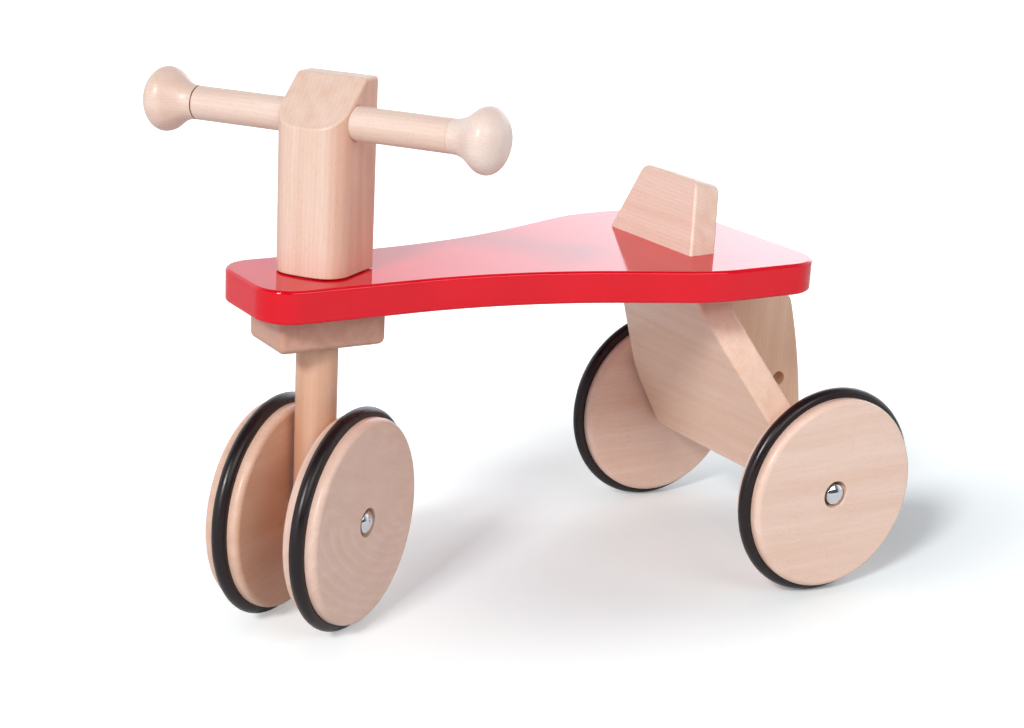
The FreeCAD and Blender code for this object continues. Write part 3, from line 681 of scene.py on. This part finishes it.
def at_height(edge, height):
    return all(abs(v.co.z - height) < 0.01 for v in edge.verts)


corners = [edge for edge in panel.edges
           if at_height(edge, panel_foot_z) and abs(edge.verts[0].co.y - edge.verts[1].co.y) < 0.01]
bmesh.ops.bevel(panel, geom=corners, offset=panel_corner, offset_type="OFFSET", affect="EDGES",
                segments=8, profile=0.5, material=-1)
finish_piece(panel, "rear_panel_finish", "chassis",
             beech("beech_panel", (-150, 0, 150), turn=grain_across, pith=(-0.13, 0.12), rings=0.3,
                   pale="#F1D3C0", deep="#E8C3AB"), panel_edge,
             lambda edge: not at_height(edge, board_bottom) and not at_height(edge, panel_foot_z))

# %% [markdown]
# ## Rear brace
# Behind the panel a narrow plate stiffens the joint with the board. Its back is a very flat
# arc between two rounded corners. All its curves lie in the side view, so it is drawn there and
# pulled out to its thickness. The tow hole goes through it from side to side.

# %% Rear brace
def panel_back_x(height):
    """Where the back of the panel is at a height above the floor."""
    return rear_axle_x + (height - axle_height) * math.tan(slope) - panel_thickness / 2 / math.cos(slope)


shoulder = Vector((rear_axle_x - 37, board_bottom - 30.5, 0))
heel = Vector((rear_axle_x - 57.5, axle_height + 21.5, 0))
brace_foot_z = axle_height + 6.5
brace_top_x, brace_thickness, brace_corner, brace_edge = rear_axle_x + 12, 24.0, 12.0, 3.0
bulge, chord = 2.8, heel - shoulder
arc_radius = (chord.length ** 2 / 4 + bulge ** 2) / 2 / bulge
inward = Vector((-chord.y, chord.x, 0)).normalized()
side = Outline(brace_top_x, board_bottom, 180)
side.run_to(shoulder.x, shoulder.y)
arc_centre = (shoulder + heel) / 2 + inward * (arc_radius - bulge)
side.swing(arc_centre, math.degrees(2 * math.asin(chord.length / 2 / arc_radius)), 12)
side.run_to(heel.x + heel.y - brace_foot_z, brace_foot_z)
side.run_to(panel_back_x(brace_foot_z), brace_foot_z)
side.run_to(panel_back_x(board_bottom), board_bottom)
side.run_to(brace_top_x, board_bottom)
bmesh.ops.remove_doubles(side.mesh, verts=side.mesh.verts, dist=1e-3)
brace = place(plate(side.mesh, brace_thickness), (0, brace_thickness / 2, 0), (1, 0, 0), (0, 0, 1))
for corner in (shoulder, heel):
    for edge in [e for e in brace.edges
                 if all(math.hypot(v.co.x - corner.x, v.co.z - corner.y) < 0.05 for v in e.verts)]:
        setback = brace_corner * math.tan(edge.calc_face_angle() / 2)
        bmesh.ops.bevel(brace, geom=[edge], offset=setback, offset_type="OFFSET", affect="EDGES",
                        segments=9, profile=0.5, material=-1)


def free_edge(edge):
    """The edges that stand free, neither against the panel nor against the board."""
    middle = (edge.verts[0].co + edge.verts[1].co) / 2
    return abs(middle.x - panel_back_x(middle.z)) > 0.05 and not at_height(edge, board_bottom)


brace = finish_piece(brace, "rear_brace_finish", "chassis",
                     beech("beech_brace", (-230, 0, 165), turn=grain_up, pith=(0.05, 0.16), rings=0.6,
                           pale="#EDCCB2", deep="#E2BB9C"), brace_edge, free_edge)
hole_x, hole_z, hole_radius = rear_axle_x - 30.5, 139.0, 6.0
drill(brace, (hole_x, -brace_thickness, hole_z), (hole_x, brace_thickness, hole_z), hole_radius)

# %% [markdown]
# ## Bearing block
# A small block under the nose holds the bushes of the post. It could be drawn and pulled like
# the plates, but its plan has no curve, so it starts as a cube, is scaled to size and rounded
# on every edge but those against the board.

# %% Bearing block
block_length, block_width, block_height, block_edge = 82.0, 54.0, 27.0, 5.0
bearing = bmesh.new()
bmesh.ops.create_cube(bearing, size=1.0)
bmesh.ops.scale(bearing, vec=(block_length, block_width, block_height), verts=bearing.verts)
bmesh.ops.translate(bearing, vec=(post_x, 0, board_bottom - block_height / 2), verts=bearing.verts)
# The block's beech is much darker than the other pieces: partly its own deeper wood, partly painted shade
# for its place under the board's nose.
finish_piece(bearing, "bearing_block_finish", "chassis",
             beech("beech_bearing_block", (post_x, 0, 225), turn=grain_across, pith=(0.02, 0.16),
                   rings=0.8, pale="#CFA18F", deep="#C2917C"), block_edge,
             lambda edge: not at_height(edge, board_bottom))

# %% [markdown]
# ## Head block
# The block that carries the handlebar has a straight rear, well-rounded front corners and a
# front that bows very slightly. Rounding a cube would give the corners but not the bow, so its
# plan is drawn and pulled up to full height. A slope is then sawn off the front, which leaves a
# narrow level strip at the back. The edge round its foot is rounded less than the others, so
# that it seems to stand on the board. The bar's hole goes in last.

# %% Head block
head_rear, head_length, head_half_width, head_edge = -29.5, 55.0, 27.5, 2.5
head_bottom, head_top, top_strip = board_top + 0.8, 399.0, 17.5
corner_radius, bow_radius = 18.0, 100.0
bar_height, bar_hole_radius = head_top - 29.4, 12.3
slope_angle = math.radians(41)
bow = math.asin((head_half_width - corner_radius) / (bow_radius - corner_radius))
side = Outline(head_rear, 0, 90)
side.run(head_half_width)
side.turn(-90)
side.run(head_length - corner_radius - (bow_radius - corner_radius) * (1 - math.cos(bow)))
side.bend(corner_radius, math.degrees(bow) - 90, 20)
side.bend(bow_radius, -math.degrees(bow), 6)
head = place(plate(mirrored(side), head_top - head_bottom), (post_x, 0, head_bottom))
slope_start = (post_x + head_rear + top_strip, 0, head_top)
saw(head, slope_start, (math.sin(slope_angle), 0, math.cos(slope_angle)))
# The head's sides get a deeper, redder tone: painted shade, together with their own darker figure.
head = finish_piece(turned(head), "head_block_finish", "steering",
                    beech("beech_head", (post_x, 0, 330), heading=rest_turn, turn=grain_up,
                          pith=(0.17, 0.02), rings=0.5, gap=3.4, side_tone_and_shade="#F7E2DA"), head_edge,
                    lambda edge: 0.4 if at_height(edge, head_bottom) else 1.0)
across = Vector((-math.sin(math.radians(rest_turn)), math.cos(math.radians(rest_turn)), 0))
bar_middle = Vector((post_x, 0, bar_height))
drill(head, bar_middle - across * 40, bar_middle + across * 40, bar_hole_radius)

# %% [markdown]
# ## Post and handlebar
# Both come off the lathe, and a spun section makes them here. A cylinder would do for their
# length, but not for the post's rounded ends, nor for the tenons at the ends of the handlebar,
# which the knobs are pushed on.

# %% Post and handlebar
post_radius, post_length, post_foot, post_break = 15.0, 287.0, 60.0, 2.0
bar_radius, bar_half, bar_break = 12.0, 121.4, 0.5
tenon_radius, tenon_length = 7.0, 22.0

side = Outline(0, 0, 90)
side.run(post_radius - post_break)
side.bend(post_break, -90, 5)
side.run(post_length - 2 * post_break)
side.bend(post_break, -90, 5)
side.run(post_radius - post_break)
post = place(lathe(side, 96), (post_x, 0, post_foot), (0, 0, 1), (1, 0, 0))
finish_piece(turned(post), "steering_shaft_finish", "steering",
             beech("beech_post", (post_x, 0, 200), heading=rest_turn, turn=grain_up,
                   pith=(0.04, 0.09), pale="#E2B49A", deep="#D7A485"))

side = Outline(-bar_half, 0, 90)
side.run(tenon_radius)
side.turn(-90)
side.run(tenon_length)
side.turn(90)
side.run(bar_radius - bar_break - tenon_radius)
side.bend(bar_break, -90, 3)
side.run(2 * (bar_half - tenon_length - bar_break))
side.bend(bar_break, -90, 3)
side.run(bar_radius - bar_break - tenon_radius)
side.turn(90)
side.run(tenon_length)
side.turn(-90)
side.run(tenon_radius)
bar = place(lathe(side, 80), (post_x, 0, bar_height), (0, 1, 0), (0, 0, 1))
finish_piece(turned(bar), "handlebar_finish", "steering",
             beech("beech_bar", (post_x, 0, bar_height), heading=rest_turn, turn=grain_across,
                   pith=(0.045, 0.12), rings=0.4, pale="#F1DACC", deep="#E9CAB9"))

# %% [markdown]
# ## Knobs
# A knob swells from the bar's own width in an S of two arcs and closes in a flattened round
# end. A stretched sphere would miss the hollow neck, so its section is spun too. The quarter
# circle of its end is drawn full and then pressed to the knob's length with the scale operator,
# which makes it a quarter of an ellipse. At the right knob a thin dark line is painted where it
# meets the bar, as the shade in the joint's gap.

# %% Knobs
knob_length, knob_bore, knob_foot = 40.5, 7.05, 99.4
neck_radius, belly_radius, swell = 20.6, 12.56, 38.0
neck_straight, swell_straight = 0.5, 6.45


def knob_section():
    """Half the section of a knob, from its bore out over the swell to the end."""
    side = Outline(0, knob_bore, 90)
    side.run(bar_radius - bar_break - knob_bore)
    side.bend(bar_break, -90, 3)
    side.run(neck_straight)
    side.bend(neck_radius, swell, 12)
    side.run(swell_straight)
    side.bend(belly_radius, -swell, 12)
    belly = side.tip.co.copy()
    known = set(side.mesh.verts)
    side.swing((belly.x, 0, 0), -90, 20)
    cap = [v for v in side.mesh.verts if v not in known]
    bmesh.ops.scale(side.mesh, vec=((knob_length - belly.x) / belly.y, 1, 1), verts=cap,
                    space=Matrix.Translation((-belly.x, 0, 0)))
    return side


# The right knob gets a thin line of painted shade where it meets the bar.
knob_woods = {"left": dict(pith=(0.03, 0.03), pale="#F4E1D7", deep="#EDD5C8"),
              "right": dict(pith=(0.01, 0.03), pale="#F0D6C8", deep="#E8C8B6", joint_shade=-99.6)}
for name, way in (("left", 1), ("right", -1)):
    knob = place(lathe(knob_section(), 96), (post_x, way * knob_foot, bar_height), (0, way, 0), (0, 0, 1))
    grain = beech("beech_knob_" + name, (post_x, 0, bar_height), heading=rest_turn,
                  turn=grain_across, rings=0.4, gap=2.0, **knob_woods[name])
    finish_piece(turned(knob), "handle_knob_" + name + "_finish", "steering", grain)

# %% [markdown]
# ## Wheels
# Each wheel is a beech disc, turned with rounded rims, a groove for its ring and a recess for
# the axle cap. All of these are in its section, so it is spun from the section in one go, and
# nothing has to be cut out of a cylinder. The section is drawn from the bore outward, and the
# groove is an arc about the centre of the rubber.

# %% Wheel section
disc_radius, half_thick, rim_edge, disc_bore = 76.0, 13.75, 4.5, 8.05
recess_radius, recess_depth, recess_break = 10.8, 6.0, 0.6
ring_radius, cord_radius, groove = 77.0, 5.5, 5.65
rubber_offset = ring_radius - disc_radius
groove_half = math.sqrt(groove ** 2 - rubber_offset ** 2)


def wheel_section():
    """Half the section of a disc, from its bore over the rims and back to the bore."""
    side = Outline(-half_thick, disc_bore, 90)
    side.run(disc_radius - rim_edge - disc_bore)
    side.bend(rim_edge, -90, 10)
    side.run(half_thick - rim_edge - groove_half)
    side.swing((0, ring_radius, 0), 180 - 2 * math.degrees(math.asin(rubber_offset / groove)), 16)
    side.heading = 0
    side.run(half_thick - rim_edge - groove_half)
    side.bend(rim_edge, -90, 10)
    side.run(disc_radius - rim_edge - recess_radius - recess_break)
    side.bend(recess_break, -90, 4)
    side.run(recess_depth - recess_break)
    side.turn(90)
    side.run(recess_radius - disc_bore)
    side.turn(-90)
    side.run_to(-half_thick, disc_bore)
    bmesh.ops.remove_doubles(side.mesh, verts=side.mesh.verts, dist=1e-3)
    return side


print("the groove is", round(2 * groove_half, 1), "mm wide at the rim")

# %% [markdown]
# ## The four discs
# A disc is sawn from a board, so its grain runs straight across the face. Each has its own
# wood. The front left one is glued from two staves, and its lower stave shows arcs about the
# hub. The same list of places serves the rings and the caps later on.

# %% Discs
def wheel_places():
    """For each wheel its end, its body, its side, the way it faces and its middle (mm)."""
    for end, x, track in (("rear", rear_axle_x, rear_track), ("front", post_x, front_track)):
        for name, way in (("left", 1), ("right", -1)):
            middle = Vector((x, way * track / 2, axle_height))
            yield end, end + "_wheel_" + name + "_body", name, way, middle


def on_axle(mesh, end, middle, way):
    """Stands a turned piece about its axle, the front ones turned with the steering."""
    standing = place(mesh, middle, (0, way, 0), (0, 0, 1))
    return turned(standing) if end == "front" else standing


disc_woods = {
    "rear_left": dict(pith=(0.15, 0.11), rings=0.15),
    "rear_right": dict(pith=(-0.14, 0.10), rings=0.3),
    "front_left": dict(turn=(0, 15.5, 26), pith=(0.004, -0.012), rings=1.15, gap=6.5, pale="#EBCABA",
                       deep="#E4C0AE", line="#F6E2D6", seam=3.0),
    # The front right disc's faces get a deeper, warmer tone: painted shade of the dim gap between the front
    # wheels.
    "front_right": dict(pith=(0.02, 0.25), rings=0.6, gap=2.2, pale="#EBC7B3", deep="#E2B9A2",
                        side_tone_and_shade="#FBF2E8"),
}
for end, body, name, way, middle in wheel_places():
    disc = on_axle(lathe(wheel_section(), 160), end, middle, way)
    grain = beech("beech_wheel_" + end + "_" + name, middle, heading=rest_turn if end == "front" else 0,
                  **disc_woods[end + "_" + name])
    finish_piece(disc, end + "_wheel_" + name + "_finish", body, grain)

# %% [markdown]
# ## Rubber rings
# A ring is a round cord that sits in its groove and stands well proud of the disc's rim. A
# torus would have the same shape. Here a circle is spun about the axle, because it then shares
# its centre with the groove.

# %% Rubber rings
for end, body, name, way, middle in wheel_places():
    ring = bmesh.new()
    bmesh.ops.create_circle(ring, segments=40, radius=cord_radius)
    bmesh.ops.translate(ring, vec=(0, ring_radius, 0), verts=ring.verts)
    bmesh.ops.spin(ring, geom=ring.verts[:] + ring.edges[:], cent=(0, 0, 0), axis=(1, 0, 0),
                   angle=math.tau, steps=180, use_merge=True)
    ring = on_axle(ring, end, middle, way)
    finish_piece(ring, end + "_tyre_" + name + "_finish", body, black_rubber)

# %% [markdown]
# ## Axle caps
# A cap is a shallow dome with a short skirt, pressed over the axle's end in its recess. It is
# spun from its section. The dome is an arc of a large circle, whose radius follows from the
# cap's width and its crown.

# %% Axle caps
cap_radius, cap_crown, cap_hole = 8.3, 3.2, 5.05
skirt_start, skirt_end = 8.05, 12.75
sphere = (cap_radius ** 2 + cap_crown ** 2) / 2 / cap_crown
for end, body, name, way, middle in wheel_places():
    side = Outline(skirt_start, cap_hole, 90)
    side.run(cap_radius - cap_hole)
    side.turn(-90)
    side.run(skirt_end - skirt_start)
    dome_middle = (skirt_end + cap_crown - sphere, 0, 0)
    side.swing(dome_middle, -math.degrees(math.asin(cap_radius / sphere)), 14)
    cap = on_axle(lathe(side, 72), end, middle, way)
    carrier = "steering" if end == "front" else "chassis"
    finish_piece(cap, end + "_cap_" + name + "_finish", carrier, chrome)

# %% [markdown]
# ## The small parts that keep their solids
# Dowels, screws, bushes, spacers, axles and pins hardly show, and their solids already have
# the right shape, so they only get their material.

# %% Materials of the small parts
dowel_wood = beech("beech_dowel", (0, 0, 250), turn=grain_up, pith=(0.03, 0.05), rings=0.6)
kept = {
    dowel_wood: ["seat_stop_dowels", "rear_panel_dowels", "rear_brace_dowels", "head_pin"],
    steel: ["rear_axle", "front_axle", "steering_stop_pin"],
    zinc: ["bearing_block_screws"],
    white_nylon: ["upper_steering_bush", "lower_steering_bush", "thrust_washer"]
    + [end + part + side_name for end in ("rear", "front") for part in ("_spacer_", "_hub_bush_")
       for side_name in ("left", "right")],
}
for material, names in kept.items():
    for name in names:
        for slot in nodes[name].material_slots:
            slot.material = material
print("solids kept", sum(len(names) for names in kept.values()))

# %% [markdown]
# ## The floor
# A studio floor of white paper that runs out of the picture on every side. The camera sees it
# bright and with a faint painted glow, which only the camera sees and which grows away from the
# toy, so that the floor ends in plain white and still keeps the toy's shadow. Where the glow is
# lowest, in an ellipse under the toy, it also paints a broad shade round that shadow. For the
# camera the paper is a little cool, which paints out the warm light that the board and the wood
# throw onto it. Chrome and lacquer mirror the same paper. For the light that it throws back up
# at the toy it is a duller grey, because the real paper was lit only round the toy and not for
# metres about it. A brighter lamp could whiten the paper as well, but it would wash out the wood.
# The paper's own tone shifts in patches of 25 mm.

# %% Floor
def paper():
    material, tree = new_material("white_paper")
    where = add(tree, "TexCoord", {})
    tooth = add(tree, "TexNoise", {"Vector": where.outputs["Object"], "Scale": 40.0, "Detail": 2.0})
    # The camera's tone is a little cool, which paints out the warm light thrown on the paper by the red
    # board and the wood.
    cool = add(tree, "Mix", {0: tooth.outputs["Fac"], 6: linear("#EAF0F1"), 7: linear("#E8EEEF")},
               data_type="RGBA")
    seen = add(tree, "LightPath", {})
    mirrored_too = add(tree, "Math", {0: seen.outputs["Is Camera Ray"], 1: seen.outputs["Is Glossy Ray"]},
                       operation="MAXIMUM")
    looked_at = add(tree, "Math", {0: mirrored_too.outputs[0], 1: seen.outputs["Is Transmission Ray"]},
                    operation="MAXIMUM")
    tone = add(tree, "Mix", {0: looked_at.outputs[0], 6: linear("#DDDDDD"), 7: cool.outputs[2]},
               data_type="RGBA")
    sheet = add(tree, "BsdfDiffuse", {"Color": tone.outputs[2]})
    # Painted shade: the camera's glow is lowest in an ellipse under the toy and grows to white away from
    # it.
    about = add(tree, "Mapping", {"Vector": where.outputs["Object"], "Location": (0.095, -0.02, 0.0),
                                  "Scale": (0.5, 1.1, 1.0)})
    reach = add(tree, "VectorMath", {0: about.outputs[0]}, operation="LENGTH")
    away = add(tree, "MapRange", {0: reach.outputs["Value"], 1: 0.06, 2: 0.25, 3: 0.02, 4: 0.40},
               interpolation_type="SMOOTHSTEP")
    beyond = add(tree, "MapRange", {0: reach.outputs["Value"], 1: 0.25, 2: 0.8, 3: 0.0, 4: 0.3})
    painted_glow = add(tree, "Math", {0: away.outputs[0], 1: beyond.outputs[0]}, operation="ADD")
    lift = add(tree, "Math", {0: seen.outputs["Is Camera Ray"], 1: painted_glow.outputs[0]},
               operation="MULTIPLY")
    glow = add(tree, "Emission", {"Color": (1, 1, 1, 1), "Strength": lift.outputs[0]})
    both = add(tree, "AddShader", {0: sheet.outputs[0], 1: glow.outputs[0]})
    add(tree, "OutputMaterial", {"Surface": both.outputs[0]})
    return material


floor_half = 20.0
ground = bmesh.new()
bmesh.ops.create_grid(ground, x_segments=8, y_segments=8, size=floor_half)
floor_data = bpy.data.meshes.new("studio_floor")
ground.to_mesh(floor_data)
ground.free()
floor_data.materials.append(paper())
studio_floor = into_scene("studio_floor", floor_data)
print("floor", 2 * floor_half, "m wide")

# %% [markdown]
# ## The room
# The studio's white wall stands behind the toy, seen from the camera, and the camera's own
# side of the room is dark. That gives the lacquer its pale veil on top and leaves its sides a
# pure red. Towards the ceiling the room darkens again. The camera itself sees plain white.

# %% World
world = bpy.data.worlds.new("studio")
bpy.context.scene.world = world
world.use_nodes = True
room = world.node_tree
room.nodes.clear()
seen = add(room, "LightPath", {})
view_way = add(room, "TexCoord", {})
toward_wall = (-0.545, -0.839, 0.0)
far_side = add(room, "VectorMath", {0: view_way.outputs["Generated"], 1: toward_wall},
               operation="DOT_PRODUCT")
wall = add(room, "MapRange", {0: far_side.outputs["Value"], 1: -0.35, 2: 0.25, 3: 0.10, 4: 1.2})
rise = add(room, "SeparateXYZ", {0: view_way.outputs["Generated"]})
ceiling = add(room, "MapRange", {0: rise.outputs[2], 1: 0.45, 2: 0.80, 3: 1.0, 4: 0.12})
strength = add(room, "Math", {0: wall.outputs[0], 1: ceiling.outputs[0]}, operation="MULTIPLY")
surround = add(room, "Background", {"Color": linear("#F6F9FF"), "Strength": strength.outputs[0]})
white = add(room, "Background", {"Color": (1, 1, 1, 1), "Strength": 1.0})
seen_through = add(room, "Math", {0: seen.outputs["Is Camera Ray"], 1: seen.outputs["Is Transmission Ray"]},
                   operation="MAXIMUM")
chosen = add(room, "MixShader", {0: seen_through.outputs[0], 1: surround.outputs[0], 2: white.outputs[0]})
add(room, "OutputWorld", {"Surface": chosen.outputs[0]})
print("world nodes", len(room.nodes))

# %% [markdown]
# ## The lamps
# Four lamps light the toy. The key stands ahead of it and to its left, low enough to reach
# under the seat, and its wide disc gives the soft shadows. A large softbox on the left opens
# the sides of the wheels, and a low wide one in front opens the undersides. The last stands low
# behind the toy and hardly lights it, but lies in the lacquer as the brighter part of the veil,
# strongest towards the seat, because it fades to nothing at its other end.

# %% Lamps
def aim_lamp(lamp, azimuth, elevation, distance=3.0, target=(0, 0, 0.2)):
    """Stands a lamp off a target (m) by azimuth and elevation (degrees) and points it there."""
    a, e = math.radians(azimuth), math.radians(elevation)
    way = Vector((math.cos(a) * math.cos(e), math.sin(a) * math.cos(e), math.sin(e)))
    holder = into_scene(lamp.name, lamp)
    aim = way.to_track_quat("Z", "Y").to_matrix().to_4x4()
    holder.matrix_world = Matrix.Translation(Vector(target) + way * distance) @ aim
    holder.visible_camera = False


def softbox(name, width, height, radiance):
    """A rectangular lamp; radiance 1 is as bright as a white wall."""
    lamp = bpy.data.lights.new(name, "AREA")
    lamp.shape = "RECTANGLE"
    lamp.size, lamp.size_y = width, height
    lamp.energy = radiance * math.pi * width * height
    return lamp


key = bpy.data.lights.new("key_lamp", "SUN")
key.energy = 2.06
key.angle = math.radians(11)
aim_lamp(key, azimuth=31, elevation=33)
aim_lamp(softbox("left_softbox", width=2.2, height=1.3, radiance=3.3), azimuth=96, elevation=33)
aim_lamp(softbox("front_softbox", width=4.0, height=1.0, radiance=0.95), azimuth=12, elevation=9)
rear = softbox("rear_softbox", width=3.0, height=1.3, radiance=1.85)
rear.color = linear("#F4F7FF")[:3]
rear.use_nodes = True
across_box = add(rear.node_tree, "NewGeometry", {})
share = add(rear.node_tree, "SeparateXYZ", {0: across_box.outputs["Parametric"]})
fade = add(rear.node_tree, "MapRange", {0: share.outputs[0], 1: 0.58, 2: 0.97, 3: 1.0, 4: 0.0})
rear.node_tree.links.new(fade.outputs[0], rear.node_tree.nodes["Emission"].inputs["Strength"])
aim_lamp(rear, azimuth=224, elevation=13, distance=3.2, target=(-0.05, 0, 0.2625))
